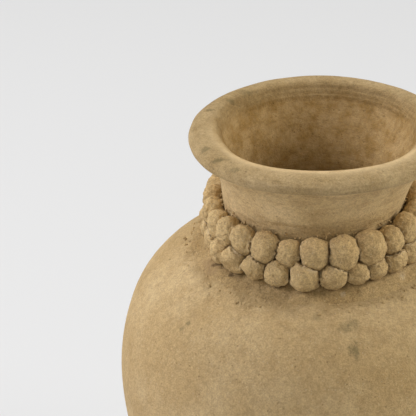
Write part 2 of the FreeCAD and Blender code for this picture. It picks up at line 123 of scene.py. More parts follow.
@dataclass(frozen=True)
class JarForm:
    """The jar's outline and its lip's drift, in the sizes that a potter would measure."""

    belly_radius: float = box_size("belly_wall").x / 2
    belly_height: float = 0.300
    lower_arc: float = 0.356
    belly_arc: float = 0.263
    shoulder_rise: float = 0.083
    shoulder_arc: float = 0.137
    base_radius: float = 0.105
    foot_rounding: float = 0.005
    body_height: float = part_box("shoulder_wall")[1].z
    wall: float = box_size("base_disc").z
    waist_radius: float = 0.1045
    waist_rise: float = 0.013
    neck_arc: float = 0.208
    neck_wall: float = 0.013
    neck_seam: float = 0.551
    seam_drop: float = 0.006
    flare_top: float = 0.597
    lip_radius: float = box_size("rim_lip").x / 2
    lip_height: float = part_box("rim_lip")[1].z
    drift: tuple[float, float] = tuple(box_middle("rim_lip"))[:2]
    drift_start: float = 0.520
    throat_inset: float = 0.043

    @property
    def neck_centre(self) -> tuple[float, float]:
        """Return the centre of the neck's hollow arc, as radius and height."""
        return self.waist_radius + self.neck_arc, self.body_height + self.waist_rise

    @property
    def neck_foot(self) -> float:
        """Return the neck's outer radius where it meets the shoulder."""
        return self.neck_radius(self.body_height, outside=True)

    def neck_radius(self, height: float, outside: bool) -> float:
        """Return the neck's radius at a height, on its outside or its inside."""
        across, up = self.neck_centre
        arc = self.neck_arc if outside else self.neck_arc + self.neck_wall
        return across - math.sqrt(arc**2 - (height - up) ** 2)

    def neck_rings(self, low: float, high: float, outside: bool) -> list[Ring]:
        """Return the neck's rings between two heights, on its outside or its inside."""
        return even_rings(lambda up: self.neck_radius(up, outside), low, high, 0.006)

    def body_radius(self, height: float) -> float:
        """Return the body's outer radius at a height."""
        swing = math.asin(self.shoulder_rise / self.belly_arc)
        corner = (self.neck_foot, self.body_height)
        shoulder_start = self.belly_height + self.shoulder_rise
        if height >= shoulder_start:
            between = self.belly_arc - self.shoulder_arc
            reach = self.belly_radius - self.belly_arc + between * math.cos(swing)
            rise = self.belly_height + between * math.sin(swing)
            touch = touch_point(corner, (reach, rise), self.shoulder_arc, 1)
            if height <= touch[1]:
                return reach + math.sqrt(max(self.shoulder_arc**2 - (height - rise) ** 2, 0))
            share = (height - touch[1]) / (corner[1] - touch[1])
            return touch[0] + share * (corner[0] - touch[0])
        if height >= self.belly_height:
            drop = height - self.belly_height
            return self.belly_radius - self.belly_arc + math.sqrt(self.belly_arc**2 - drop**2)
        centre = (self.belly_radius - self.lower_arc, self.belly_height)
        touch = touch_point((self.base_radius, 0), centre, self.lower_arc, -1)
        if height >= touch[1]:
            return centre[0] + math.sqrt(self.lower_arc**2 - (height - self.belly_height) ** 2)
        return self.base_radius + height / touch[1] * (touch[0] - self.base_radius)

    def drift_at(self, height: float) -> Vector:
        """Return how far the ring at a height has drifted from the jar's axis."""
        share = smooth_step(self.drift_start, self.flare_top, height)
        return Vector((self.drift[0] * share, self.drift[1] * share, 0))


def touch_point(outside: Ring, centre: Ring, radius: float, side: int) -> Ring:
    """Return where the line from a point outside a circle touches it.

    Args:
        outside: The point, as radius and height.
        centre: The circle's centre, as radius and height.
        radius: The circle's radius.
        side: Which of the two lines, 1 or -1.

    Returns:
        The touching point, as radius and height.
    """
    across, up = centre[0] - outside[0], centre[1] - outside[1]
    length = math.hypot(across, up)
    heading = math.atan2(up, across) + side * math.asin(radius / length)
    reach = math.sqrt(length**2 - radius**2)
    return outside[0] + reach * math.cos(heading), outside[1] + reach * math.sin(heading)


def even_rings(radius_at: Callable[[float], float], low: float, high: float, spacing: float) -> list[Ring]:
    """Return rings of a curve spaced evenly along it, both ends included.

    Args:
        radius_at: The curve's radius at a height.
        low: The height to start at, which may be above the end.
        high: The height to end at.
        spacing: About how far apart the rings lie, along the curve.

    Returns:
        The rings, as radius and height.
    """
    fine = [low + (high - low) * step / 400 for step in range(401)]
    curve = [(radius_at(height), height) for height in fine]
    run = np.concatenate(([0], np.cumsum([math.dist(a, b) for a, b in zip(curve, curve[1:])])))
    wanted = np.linspace(0, run[-1], max(round(run[-1] / spacing), 2) + 1)
    return list(zip(*(np.interp(wanted, run, column) for column in zip(*curve))))


def set_in(rings: list[Ring], depth: float) -> list[Ring]:
    """Return the rings moved by a depth to the left of the way they run, which is into the wall."""
    moved = []
    for number, (across, up) in enumerate(rings):
        before = rings[max(number - 1, 0)]
        after = rings[min(number + 1, len(rings) - 1)]
        run, rise = after[0] - before[0], after[1] - before[1]
        length = math.hypot(run, rise)
        moved.append((across - depth * rise / length, up + depth * run / length))
    return moved


FORM = JarForm()


# Hand work


@dataclass(frozen=True)
class Creases:
    """Fine creases and swirls left in rolled clay, cut towards a middle."""

    size: float
    depth: float
    seed: float = 0.0

    def work(self, points: np.ndarray, middle: np.ndarray, weights: np.ndarray) -> None:
        """Sink the creases into the points and raise the clay between them."""
        start = Vector((self.seed * 1.3, -self.seed, self.seed * 0.4))
        heights = np.array([abs(noise.noise(Vector(point) / self.size + start)) for point in points])
        ways = points - middle
        ways /= np.linalg.norm(ways, axis=1)[:, None]
        points += ways * ((np.minimum(heights * 3, 1) - 0.6) * self.depth * weights)[:, None]


@dataclass(frozen=True)
class Relief:
    """Soft unevenness of a handmade surface: waves of one size and depth."""

    size: float
    depth: float
    seed: float = 0.0

    def work(self, points: np.ndarray, weights: np.ndarray | None = None) -> None:
        """Move the points by a push that depends only on their place."""
        start = Vector((self.seed, self.seed * 0.7, -self.seed))
        pushes = np.array([noise.noise_vector(Vector(point) / self.size + start) for point in points])
        if weights is not None:
            pushes *= weights[:, None]
        points += pushes * self.depth


def points_of(piece: Piece) -> np.ndarray:
    """Return a piece's points, one row each."""
    points = np.empty(len(piece.data.vertices) * 3)
    piece.data.vertices.foreach_get("co", points)
    return points.reshape(-1, 3)


def set_points(piece: Piece, points: np.ndarray) -> None:
    """Put a piece's points where the rows say."""
    piece.data.vertices.foreach_set("co", points.astype(np.float32).ravel())
    piece.data.update()


# Lip's uneven edge, measured round the lip: direction in degrees, width in degrees, push outwards and up.
LIP_PUSHES = (
    (-78.0, 14.0, 0.0008, 0.0),
    (-140.0, 20.0, 0.0030, -0.0024),
    (-42.0, 18.0, 0.0026, -0.0022),
    (95.0, 38.0, 0.0034, 0.0008),
    (34.0, 18.0, 0.0010, 0.0006),
    (130.0, 20.0, -0.0003, -0.0005),
)
WALL_RELIEFS = (
    Relief(size=0.120, depth=0.9 * MM, seed=3.1),
    Relief(size=0.038, depth=0.45 * MM, seed=7.7),
    Relief(size=0.012, depth=0.16 * MM, seed=1.9),
)

# At the back the hand drew the throat's edge out and pressed the crest down, and the inside's painted shade
# reaches further out there.
# The back starts and is full where a level direction's share along +Y has these values.
BACK = (-0.35, 0.55)
THROAT_PUSH = 0.0058
THROAT_SHADE_REACH = 0.0062
CREST_DROP = 0.0046

# The place at the left where the slip lies thickest.
SLIP_PATCH = (-0.123, -0.062, 0.471)


def soften_throat(points: np.ndarray, turn: np.ndarray, outwards: np.ndarray) -> None:
    """Draw the lip's inner edge down into a funnel at the back, where the hand went over it most.

    Args:
        points: The points to move.
        turn: Each point's direction round the lip, in degrees.
        outwards: Each point's level direction away from the lip's middle.
    """
    middle = FORM.drift_at(FORM.lip_height)
    reach = np.hypot(points[:, 0] - middle.x, points[:, 1] - middle.y)
    back = rise(*BACK, np.sin(np.radians(turn)))
    inner = rise(0.130, 0.114, reach) * rise(0.570, 0.600, points[:, 2])
    points += outwards * (THROAT_PUSH * back * inner * inner)[:, None]
    crest = rise(0.136, 0.114, reach) * rise(0.600, 0.610, points[:, 2])
    points[:, 2] -= CREST_DROP * back * crest * crest


def work_lip(points: np.ndarray) -> None:
    """Make the lip as uneven as the hand left it, fading out below it."""
    middle = FORM.drift_at(FORM.lip_height)
    turn = np.degrees(np.arctan2(points[:, 1] - middle.y, points[:, 0] - middle.x))
    share = rise(FORM.body_height + 0.07, FORM.body_height + 0.11, points[:, 2])
    share = share * share * (3 - 2 * share)
    angle = np.radians(turn)
    outwards = np.stack((np.cos(angle), np.sin(angle), np.zeros(len(angle))), axis=1)
    soften_throat(points, turn, outwards)
    for direction, width, out, lift in LIP_PUSHES:
        away = (turn - direction + 180) % 360 - 180
        amount = np.exp(-((away / width) ** 2) / 2) * share
        points += outwards * (amount * out)[:, None]
        points[:, 2] += amount * lift


def work_wall(piece: Piece) -> None:
    """Go over a wall with the hand: broad unevenness, finger dents and the lip's own shape."""
    points = points_of(piece)
    for relief in WALL_RELIEFS:
        relief.work(points)
    work_lip(points)
    set_points(piece, np.clip(points, *(np.array(corner) for corner in CAD_BOX)))


def store_mark(piece: Piece, name: str, shares: np.ndarray) -> None:
    """Store a share from 0 to 1 on each point of a piece, for its finish to read."""
    marks = piece.data.attributes.new(name, "FLOAT", "POINT")
    marks.data.foreach_set("value", shares.astype(np.float32))


def mark_handled(piece: Piece) -> None:
    """Store on each outer point how much handling the lip has taken there, from 0 to 1."""
    points = points_of(piece) - np.array(FORM.drift_at(FORM.lip_height))
    shares = rise(FORM.flare_top + 0.002, FORM.flare_top + 0.009, points[:, 2])
    store_mark(piece, "handled", shares * rise(0.108, 0.126, np.hypot(points[:, 0], points[:, 1])))


def mark_painted_highlight(piece: Piece) -> None:
    """Store on each point how strongly the painted highlight along the front of the lip's crest shows there,
    from 0 to 1.
    """
    points = points_of(piece) - np.array(FORM.drift_at(FORM.lip_height))
    reach = np.hypot(points[:, 0], points[:, 1])
    crest = np.exp(-(((reach - 0.1220) / 0.0072) ** 2)) * rise(0.604, 0.612, points[:, 2])
    store_mark(piece, "painted_highlight", crest * rise(0.35, -0.65, points[:, 1] / reach))


def mark_inside_shade(piece: Piece) -> None:
    """Store on each point how far it is on the vessel's inside, from 0 to 1, where painted shade darkens the
    clay.
    """
    points = points_of(piece)
    shares = []
    for across, along, up in points:
        drift = FORM.drift_at(up)
        reach = math.hypot(across - drift.x, along - drift.y)
        height = min(up, FORM.flare_top)
        inner = min(FORM.neck_radius(height, False), FORM.lip_radius - FORM.throat_inset)
        crest = smooth_step(FORM.flare_top, FORM.lip_height, up)
        back = rise(*BACK, (along - drift.y) / reach)
        # At the back the inside's painted shade reaches further out, over the drawn-out edge.
        inner += THROAT_SHADE_REACH * back * (1 - crest) * smooth_step(0.570, 0.600, up)
        shares.append(1 - smooth_step(inner + 0.004, inner + 0.010 + 0.018 * crest, reach))
    store_mark(piece, "inside", np.array(shares))


# Modelling steps


def deselect() -> None:
    """Leave no object selected."""
    bpy.ops.object.select_all(action="DESELECT")


def apply_modifier(piece: Piece, kind: str, **settings: object) -> None:
    """Add a modifier with its settings and apply it."""
    modifier = piece.modifiers.new(kind.lower(), kind)
    for name, value in settings.items():
        setattr(modifier, name, value)
    bpy.context.view_layer.objects.active = piece
    bpy.ops.object.modifier_apply(modifier=modifier.name)


def draw_rings(
    name: str, rings: list[Ring], sharp: tuple[int, ...], closed: bool = True, segments: int = 96
) -> Piece:
    """Draw a wall up from a circle, ring by ring, and subdivide it into a smooth surface.

    Args:
        name: The new piece's name.
        rings: The rings in order, as radius and height.
        sharp: Which rings keep a crisp edge.
        closed: True to bridge the last ring to the first, False to fill both.
        segments: How many sides each ring has.

    Returns:
        The piece, in object mode.
    """
    deselect()
    across, up = rings[0]
    middle = FORM.drift_at(up)
    bpy.ops.mesh.primitive_circle_add(
        vertices=segments, radius=across, location=(middle.x, middle.y, up), enter_editmode=True
    )
    piece = bpy.context.object
    if not closed:
        bpy.ops.mesh.edge_face_add()
    for ring, (next_across, next_up) in enumerate(rings):
        if ring in sharp:
            bpy.ops.transform.edge_crease(value=1)
        if ring == 0:
            continue
        after = FORM.drift_at(next_up)
        shift = (after.x - middle.x, after.y - middle.y, next_up - up)
        bpy.ops.mesh.extrude_region_move(TRANSFORM_OT_translate={"value": shift})
        scale = next_across / across
        bpy.ops.transform.resize(value=(scale, scale, 1), center_override=(after.x, after.y, next_up))
        if ring in sharp:
            bpy.ops.transform.edge_crease(value=1)
        across, up, middle = next_across, next_up, after
    if closed:
        bpy.ops.mesh.select_all(action="DESELECT")
        bpy.ops.mesh.select_non_manifold()
        bpy.ops.mesh.bridge_edge_loops()
    bpy.ops.mesh.select_all(action="SELECT")
    bpy.ops.mesh.normals_make_consistent(inside=False)
    bpy.ops.object.mode_set(mode="OBJECT")
    bpy.ops.object.transform_apply(location=True, rotation=True, scale=True)
    piece.name = name
    apply_modifier(piece, "SUBSURF", levels=2, render_levels=2)
    return piece


def finish_piece(piece: Piece, slot: Slot, material: bpy.types.Material, *nodes: str) -> None:
    """Dress a piece, let it ride on the jar and let it stand for its nodes."""
    piece.data.name = piece.name
    piece.data.materials.clear()
    piece.data.materials.append(material)
    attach(piece, ROOT)
    if nodes:
        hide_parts(*nodes)
    LOG.info("%s: %d faces", piece.name, len(piece.data.polygons))


def shade(piece: Piece, degrees: float = 60) -> None:
    """Shade a piece smooth, but for edges sharper than an angle."""
    deselect()
    piece.select_set(True)
    bpy.context.view_layer.objects.active = piece
    bpy.ops.object.shade_smooth_by_angle(angle=math.radians(degrees))


# Finishes


@dataclass(frozen=True)
class Smudge:
    """A soft spot at a place on the jar: a grey-green stained patch, the pale tone of grit, or the painted
    shade of a hole.
    """

    place: Triple
    reach: Triple
    strength: float
    tone: Triple = (0.13, 0.108, 0.048)


class NodeDesk:
    """A short way to lay out a material's nodes and join them."""

    def __init__(self, name: str) -> None:
        """Start a material with its shader and the jar's own coordinates."""
        self.material = bpy.data.materials.new(name)
        self.material.use_nodes = True
        self.tree = self.material.node_tree
        self.shader = self.tree.nodes["Principled BSDF"]
        self.place = self.add("ShaderNodeTexCoord").outputs["Object"]

    def add(self, kind: str, inputs: Inputs | None = None, **settings: object) -> bpy.types.Node:
        """Add a node with its inputs and its settings."""
        node = self.tree.nodes.new(kind)
        for name, value in settings.items():
            setattr(node, name, value)
        self.feed(node, inputs or {})
        return node

    def feed(self, node: bpy.types.Node, inputs: Inputs) -> None:
        """Link a node's inputs to outputs of others, or set them to plain values."""
        for name, source in inputs.items():
            if isinstance(source, bpy.types.NodeSocket):
                self.tree.links.new(source, node.inputs[name])
            else:
                node.inputs[name].default_value = source

    def stretch(self, scale: Triple, turn: Triple = (0, 0, 0)) -> object:
        """Return the jar's coordinates scaled and turned."""
        inputs = {"Vector": self.place, "Scale": scale, "Rotation": turn}
        return self.add("ShaderNodeMapping", inputs).outputs["Vector"]

    def noise(self, size: float, detail: float = 3, rough: float = 0.55, vector: object = None) -> object:
        """Return noise from 0 to 1 whose lumps have a size in metres."""
        place = self.place if vector is None else vector
        inputs = {"Vector": place, "Scale": 1 / size, "Detail": detail, "Roughness": rough}
        return self.add("ShaderNodeTexNoise", inputs).outputs["Fac"]

    def cells(self, size: float) -> object:
        """Return the distance to scattered points that lie about a size apart."""
        inputs = {"Vector": self.place, "Scale": 1 / size}
        return self.add("ShaderNodeTexVoronoi", inputs).outputs["Distance"]

    def length(self, vector: object) -> object:
        """Return how long a vector is."""
        return self.add("ShaderNodeVectorMath", {0: vector}, operation="LENGTH").outputs["Value"]

    def mark(self, name: str) -> object:
        """Return a share that is stored on the piece's points."""
        return self.add("ShaderNodeAttribute", attribute_name=name).outputs["Fac"]

    def broken_mark(self, name: str, size: float, detail: float, *reach: float) -> object:
        """Return a stored share that noise of a size breaks up, ramped over a reach."""
        patches = self.ramp(self.noise(size, detail, 0.7), *reach)
        return self.sum("MULTIPLY", self.mark(name), patches)

    def ramp(self, value: object, low: float, high: float, bottom: float = 0, top: float = 1) -> object:
        """Return a value that rises from bottom to top as another goes from low to high."""
        inputs = {"Value": value, "From Min": low, "From Max": high, "To Min": bottom, "To Max": top}
        return self.add("ShaderNodeMapRange", inputs, interpolation_type="SMOOTHSTEP").outputs["Result"]

    def sum(self, operation: str, first: object, second: object) -> object:
        """Return the result of a sum of two values."""
        return self.add("ShaderNodeMath", {0: first, 1: second}, operation=operation).outputs[0]

    def mix(self, share: object, first: object, second: object, blend: str = "MIX") -> object:
        """Return a colour mixed from two: the node's colours are its inputs 6 and 7 and its output 2."""
        inputs = {"Factor": share}
        for number, colour in ((6, first), (7, second)):
            inputs[number] = colour if isinstance(colour, bpy.types.NodeSocket) else (*colour, 1)
        return self.add("ShaderNodeMix", inputs, data_type="RGBA", blend_type=blend).outputs[2]

    def bump(self, height: object, depth: float, before: object = None) -> object:
        """Return a normal roughened by a height whose full range is a depth in metres."""
        inputs = {"Strength": 1, "Distance": depth, "Height": height}
        if before is not None:
            inputs["Normal"] = before
        return self.add("ShaderNodeBump", inputs).outputs["Normal"]


@dataclass(frozen=True)
class ClayFinish:
    """Fired coarse clay, unglazed: mottled, sandy, pitted, with soft stains."""

    name: str
    light: Triple
    middle: Triple
    dark: Triple
    grain_depth: float = 0.6 * MM
    grain_tone: float = 0.10
    lump_depth: float = 0.5 * MM
    line_depth: float = 0.0
    line_pitch: float = 0.006
    streak_share: float = 0.0
    pit_share: float = 0.35
    speck_share: float = 0.35
    stain_share: float = 0.55
    crevice: float = 0.007
    # How strongly painted shade with grime darkens the crevices.
    dirt_and_shade_share: float = 0.55
    # The tint that multiplies in as painted shade on the vessel's inside.
    inside: Triple | None = None
    handled: Triple | None = None
    # The colour of the painted highlight on the front of the lip's crest.
    painted_highlight: Triple | None = None
    torn: Triple | None = None
    smear_reach: float = 0.0
    smudges: tuple[Smudge, ...] = ()

    def colour(self, desk: NodeDesk) -> object:
        """Return the clay's colour: mottles, cloudy stains, grains, specks, painted shade in the pits, and
        painted shade with grime in the crevices.
        """
        cloud = desk.ramp(desk.noise(0.085, 4, 0.6), 0.34, 0.68)
        tone = desk.mix(cloud, self.middle, self.light)
        patch = desk.ramp(desk.noise(0.024, 5, 0.7), 0.44, 0.74, 0, self.stain_share)
        tone = desk.mix(patch, tone, self.dark)
        if self.streak_share:
            streak = desk.noise(0.034, 5, 0.75, desk.stretch((1, 1, 6)))
            tone = desk.mix(desk.ramp(streak, 0.47, 0.66, 0, self.streak_share), tone, self.dark)
            pale = desk.noise(0.026, 5, 0.75, desk.stretch((1.1, 1, 5), (0.03, 0.02, 0.9)))
            tone = desk.mix(desk.ramp(pale, 0.52, 0.70, 0, self.streak_share), tone, self.light)
        swing = 0.7 * self.grain_tone
        coarse = desk.ramp(desk.noise(0.0056, 3, 0.7), 0.38, 0.62, -swing, swing)
        fine = desk.ramp(desk.noise(0.0020, 2, 0.7), 0.40, 0.60, 1 - self.grain_tone, 1 + self.grain_tone)
        tone = desk.mix(1, tone, desk.sum("ADD", coarse, fine), "MULTIPLY")
        grit = desk.ramp(desk.cells(0.0048), 0.17, 0.09, 0, self.speck_share)
        tone = desk.mix(grit, tone, (0.62, 0.52, 0.36))
        # Painted shade in the pits: darker at the same places where the relief sinks its pits.
        pit_shade = desk.ramp(desk.cells(0.0095), 0.14, 0.07, 0, self.pit_share)
        tone = desk.mix(pit_shade, tone, (0.12, 0.075, 0.035))
        # Painted shadow with soaked-in slip: a darker ring on the shoulder round the pellets.
        if self.smear_reach:
            tone = desk.mix(self.shadow_and_slip_ring(desk), tone, self.dark)
        # Stains and grit, and painted shade where a spot stands for a hole.
        for smudge in self.smudges:
            tone = self.stain_or_shade_spot(desk, tone, smudge)
        if self.handled:
            tone = desk.mix(desk.mark("handled"), tone, self.handled, "MULTIPLY")
        # Painted highlight along the front of the lip's crest, broken up by noise.
        if self.painted_highlight:
            tone = desk.mix(desk.broken_mark("painted_highlight", 0.012, 4, 0.25, 0.6, 0.5), tone, self.painted_highlight)
        if self.torn:
            tone = desk.mix(desk.broken_mark("torn", 0.0022, 3, 0.40, 0.58), tone, self.torn)
        # Painted shade on the vessel's inside, broken into patches.
        if self.inside:
            patchy_inside_shade = desk.broken_mark("inside", 0.016, 5, 0.35, 0.7, 0.55)
            tone = desk.mix(patchy_inside_shade, tone, self.inside, "MULTIPLY")
        # Painted shade with grime in the crevices, where ambient occlusion finds the surface closed in.
        return self.crevice_dirt_and_shade(desk, tone)

    def stain_or_shade_spot(self, desk: NodeDesk, tone: object, smudge: Smudge) -> object:
        """Return the colour with one soft spot laid over it: stained clay, grit, or a hole's painted shade.
        """
        inputs = {"Vector": desk.place, "Location": smudge.place, "Scale": smudge.reach}
        near = desk.add("ShaderNodeMapping", inputs, vector_type="TEXTURE").outputs["Vector"]
        torn = desk.ramp(desk.noise(0.006, 3, 0.7), 0.2, 0.8, -0.5, 0.5)
        ragged = desk.sum("ADD", desk.length(near), torn)
        return desk.mix(desk.ramp(ragged, 1.1, 0.2, 0, smudge.strength), tone, smudge.tone)

    def crevice_dirt_and_shade(self, desk: NodeDesk, tone: object) -> object:
        """Return the colour darkened by painted shade with grime where the surface is closed in."""
        node = desk.add("ShaderNodeAmbientOcclusion", {"Distance": self.crevice}, samples=8)
        dark = desk.ramp(node.outputs["AO"], 0.12, 0.72, self.dirt_and_shade_share, 0)
        return desk.mix(dark, tone, (0.10, 0.065, 0.03))

    def relief(self, desk: NodeDesk) -> object:
        """Return the normal of the sandy, pitted surface."""
        lumps = desk.bump(desk.noise(0.011, 3, 0.5), self.lump_depth)
        if self.smear_reach:
            lumps = desk.bump(self.smear(desk), 1.3 * MM, lumps)
        coarse = desk.bump(desk.noise(0.0040, 3, 0.7), 1.8 * self.grain_depth, lumps)
        sand = desk.bump(desk.noise(0.0018, 3, 0.7), 1.2 * self.grain_depth, coarse)
        pits = desk.bump(desk.ramp(desk.cells(0.0095), 0.06, 0.15), 1.2 * MM * self.pit_share, sand)
        if not self.line_depth:
            return pits
        rings = desk.noise(self.line_pitch, 3, 0.6, desk.stretch((0.05, 0.05, 1), (0.02, 0.015, 0)))
        return desk.bump(rings, self.line_depth, pits)

    def ragged_reach(self, desk: NodeDesk, unevenness: float) -> object:
        """Return the distance from the axis, made uneven so that rings of it have ragged edges."""
        edge = desk.ramp(desk.noise(0.020, 3, 0.6), 0.25, 0.75, -unevenness, unevenness)
        return desk.sum("ADD", desk.length(desk.stretch((1, 1, 0))), edge)

    def smear(self, desk: NodeDesk) -> object:
        """Return the ragged lumps of slip smeared over the shoulder, from 0 to 1."""
        near = desk.ramp(self.ragged_reach(desk, 0.014), self.smear_reach + 0.004, self.smear_reach - 0.020)
        return desk.sum("MULTIPLY", near, desk.ramp(desk.noise(0.006, 4, 0.7), 0.3, 0.7))

    def shadow_and_slip_ring(self, desk: NodeDesk) -> object:
        """Return how much painted shadow and soaked-in slip darken the shoulder in a ring round the pellets,
        from 0 to 1.
        """
        reach = self.ragged_reach(desk, 0.004)
        return desk.ramp(reach, self.smear_reach - 0.004, self.smear_reach - 0.024, 0, 0.5)

    def material(self) -> bpy.types.Material:
        """Return the finish as a material."""
        desk = NodeDesk(self.name)
        desk.feed(desk.shader, {"Base Color": self.colour(desk), "Normal": self.relief(desk)})
        desk.feed(desk.shader, {"Roughness": 0.95, "Specular IOR Level": 0.15})
        return desk.material


CLAY_LIGHT = (0.50, 0.365, 0.190)
CLAY_MIDDLE = (0.43, 0.300, 0.142)
CLAY_DARK = (0.33, 0.218, 0.092)
# Painted shade of the vessel's inside: a darker, browner tint.
INSIDE_SHADE = (0.54, 0.452, 0.298)
LIP_SMUDGES = (
    Smudge((-0.1222, 0.0496, 0.617), (0.011, 0.006, 0.008), 0.55),
    Smudge((-0.0932, 0.0796, 0.619), (0.009, 0.006, 0.008), 0.45),
    Smudge((-0.1256, -0.0513, 0.617), (0.007, 0.009, 0.008), 0.5),
    Smudge((-0.1104, -0.078, 0.617), (0.012, 0.005, 0.008), 0.55),
    Smudge((-0.0921, -0.1017, 0.616), (0.01, 0.005, 0.008), 0.4),
    Smudge((-0.0782, 0.1024, 0.618), (0.016, 0.007, 0.008), 0.4),
)
PALE = (0.66, 0.60, 0.48)
# Painted shade standing in for small holes in the slip.
PAINTED_HOLE_SHADE = (0.10, 0.060, 0.028)
RAW_SLIP = (0.27, 0.175, 0.085)
SHOULDER_SMUDGES = (
    Smudge((-0.123, -0.062, 0.474), (0.017, 0.024, 0.012), 0.6, RAW_SLIP),
    Smudge((0.0345, -0.166, 0.454), (0.007, 0.012, 0.008), 0.5),
    Smudge((0.0335, -0.188, 0.434), (0.0065, 0.014, 0.013), 0.65),
    Smudge((0.023, -0.17, 0.452), (0.009, 0.007, 0.008), 0.4),
    Smudge((-0.006, -0.1593, 0.4591), (0.007, 0.007, 0.006), 0.35),
    Smudge((-0.1573, -0.1216, 0.4262), (0.006, 0.004, 0.004), 0.45),
    Smudge((-0.15, -0.121, 0.433), (0.006, 0.004, 0.004), 0.5),
    Smudge((-0.171, -0.0035, 0.452), (0.0025, 0.0025, 0.003), 0.8),
    Smudge((-0.1175, -0.064, 0.476), (0.005, 0.005, 0.01), 0.9, PAINTED_HOLE_SHADE),
    Smudge((-0.1, -0.088, 0.476), (0.0045, 0.0045, 0.01), 0.85, PAINTED_HOLE_SHADE),
    Smudge((0.0934, -0.096, 0.4731), (0.007, 0.007, 0.005), 0.25, PALE),
    Smudge((0.0246, -0.133, 0.474), (0.0035, 0.004, 0.006), 0.25, PALE),
)
BODY_SMUDGES = (
    Smudge((-0.058, -0.223, 0.352), (0.004, 0.004, 0.004), 0.6, PALE),
)
BODY_CLAY = ClayFinish("body_clay", CLAY_LIGHT, CLAY_MIDDLE, CLAY_DARK, smudges=BODY_SMUDGES)
SHOULDER_CLAY = replace(BODY_CLAY, name="shoulder_clay", smear_reach=0.163, smudges=SHOULDER_SMUDGES)
NECK_LIGHT = (0.58, 0.422, 0.220)
NECK_MIDDLE = (0.49, 0.345, 0.165)
NECK_DARK = (0.37, 0.245, 0.105)
NECK_CLAY = ClayFinish(
    "neck_clay",
    NECK_LIGHT,
    NECK_MIDDLE,
    NECK_DARK,
    line_depth=1.0 * MM,
    lump_depth=0.4 * MM,
    streak_share=0.8,
    dirt_and_shade_share=0.6,
    inside=INSIDE_SHADE,
)
LIP_CLAY = replace(
    NECK_CLAY,
    name="lip_clay",
    line_depth=0.4 * MM,
    lump_depth=0.45 * MM,
    streak_share=0.42,
    dirt_and_shade_share=0.55,
    handled=(0.71, 0.71, 0.70),
    # Painted highlight on the front of the crest.
    painted_highlight=(0.74, 0.56, 0.32),
    smudges=LIP_SMUDGES,
)
SLIP_CLAY = ClayFinish(
    "slip_clay",
    CLAY_MIDDLE,
    CLAY_DARK,
    (0.27, 0.175, 0.075),
    grain_depth=0.9 * MM,
    grain_tone=0.15,
    smudges=SHOULDER_SMUDGES,
)
PELLET_CLAY = ClayFinish(
    "pellet_clay",
    (0.53, 0.378, 0.182),
    (0.45, 0.308, 0.140),
    (0.34, 0.222, 0.094),
    grain_depth=0.95 * MM,
    grain_tone=0.14,
    lump_depth=0.9 * MM,
    speck_share=0.5,
    dirt_and_shade_share=0.42,
    torn=(0.66, 0.52, 0.32),
)


# Pieces


@dataclass
class Body:
    """The base disc and the three ring walls, luted edge to edge."""

    spacing: float = 0.011
    inner_spacing: float = 0.030
    lower_seam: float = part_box("lower_wall")[1].z
    upper_seam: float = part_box("belly_wall")[1].z
    seam_slope: float = 25.0

    def wall(self, name: str, low: float, high: float, low_drop: float, high_drop: float) -> Piece:
        """Build one ring wall between two seams.

        Args:
            name: The wall's name.
            low: The height of its outer lower edge.
            high: The height of its outer upper edge.
            low_drop: How much lower the inner lower edge lies.
            high_drop: How much lower the inner upper edge lies.

        Returns:
            The wall.
        """
        radius_at = FORM.body_radius
        outside = even_rings(radius_at, low, high, self.spacing)
        lining = even_rings(radius_at, high - high_drop, low - low_drop, self.inner_spacing)
        rings = outside + set_in(lining, -FORM.wall)
        edges = (0, len(outside) - 1, len(outside), len(rings) - 1)
        piece = draw_rings(name, rings, edges)
        work_wall(piece)
        self.smear_slip(piece)
        shade(piece, 50)
        return piece

    def smear_slip(self, piece: Piece) -> None:
        """Leave lumps of slip on the shoulder round the pellets, thickest at the left."""
        points = points_of(piece)
        reach = np.hypot(points[:, 0], points[:, 1])
        ring = rise(0.166, 0.146, reach) * (points[:, 2] > FORM.body_height - 0.050)
        patch = np.exp(-(((points - np.array(SLIP_PATCH)) ** 2).sum(axis=1)) / (2 * 0.020**2))
        Relief(size=0.007, depth=1.5 * MM, seed=4.4).work(points, ring * (0.35 + 0.65 * patch))
        set_points(piece, points)

    def disc(self) -> Piece:
        """Build the flat disc that the jar stands on."""
        edge = FORM.foot_rounding
        rings = [(0.02, 0), (0.06, 0), (FORM.base_radius - edge, 0)]
        rings += [(FORM.base_radius - 0.3 * edge, 0.3 * edge)]
        rings += [(FORM.body_radius(edge), edge), (FORM.body_radius(FORM.wall), FORM.wall)]
        rings += [(0.09, FORM.wall), (0.05, FORM.wall), (0.02, FORM.wall)]
        piece = draw_rings("base_slab", rings, (2, 5), closed=False)
        work_wall(piece)
        shade(piece, 50)
        return piece

    def build(self) -> None:
        """Build the body from the foot up."""
        clay = BODY_CLAY.material()
        drop = FORM.wall * math.tan(math.radians(self.seam_slope))
        finish_piece(self.disc(), Slot.BODY, clay, "base_disc")
        walls = (
            ("lower_ring", "lower_wall", FORM.wall, self.lower_seam, 0.0, drop),
            ("belly_ring", "belly_wall", self.lower_seam, self.upper_seam, drop, drop),
            ("shoulder_ring", "shoulder_wall", self.upper_seam, FORM.body_height, drop, 0.0),
        )
        for name, node, low, high, low_drop, high_drop in walls:
            dress = SHOULDER_CLAY.material() if node == "shoulder_wall" else clay
            finish_piece(self.wall(name, low, high, low_drop, high_drop), Slot.BODY, dress, node)


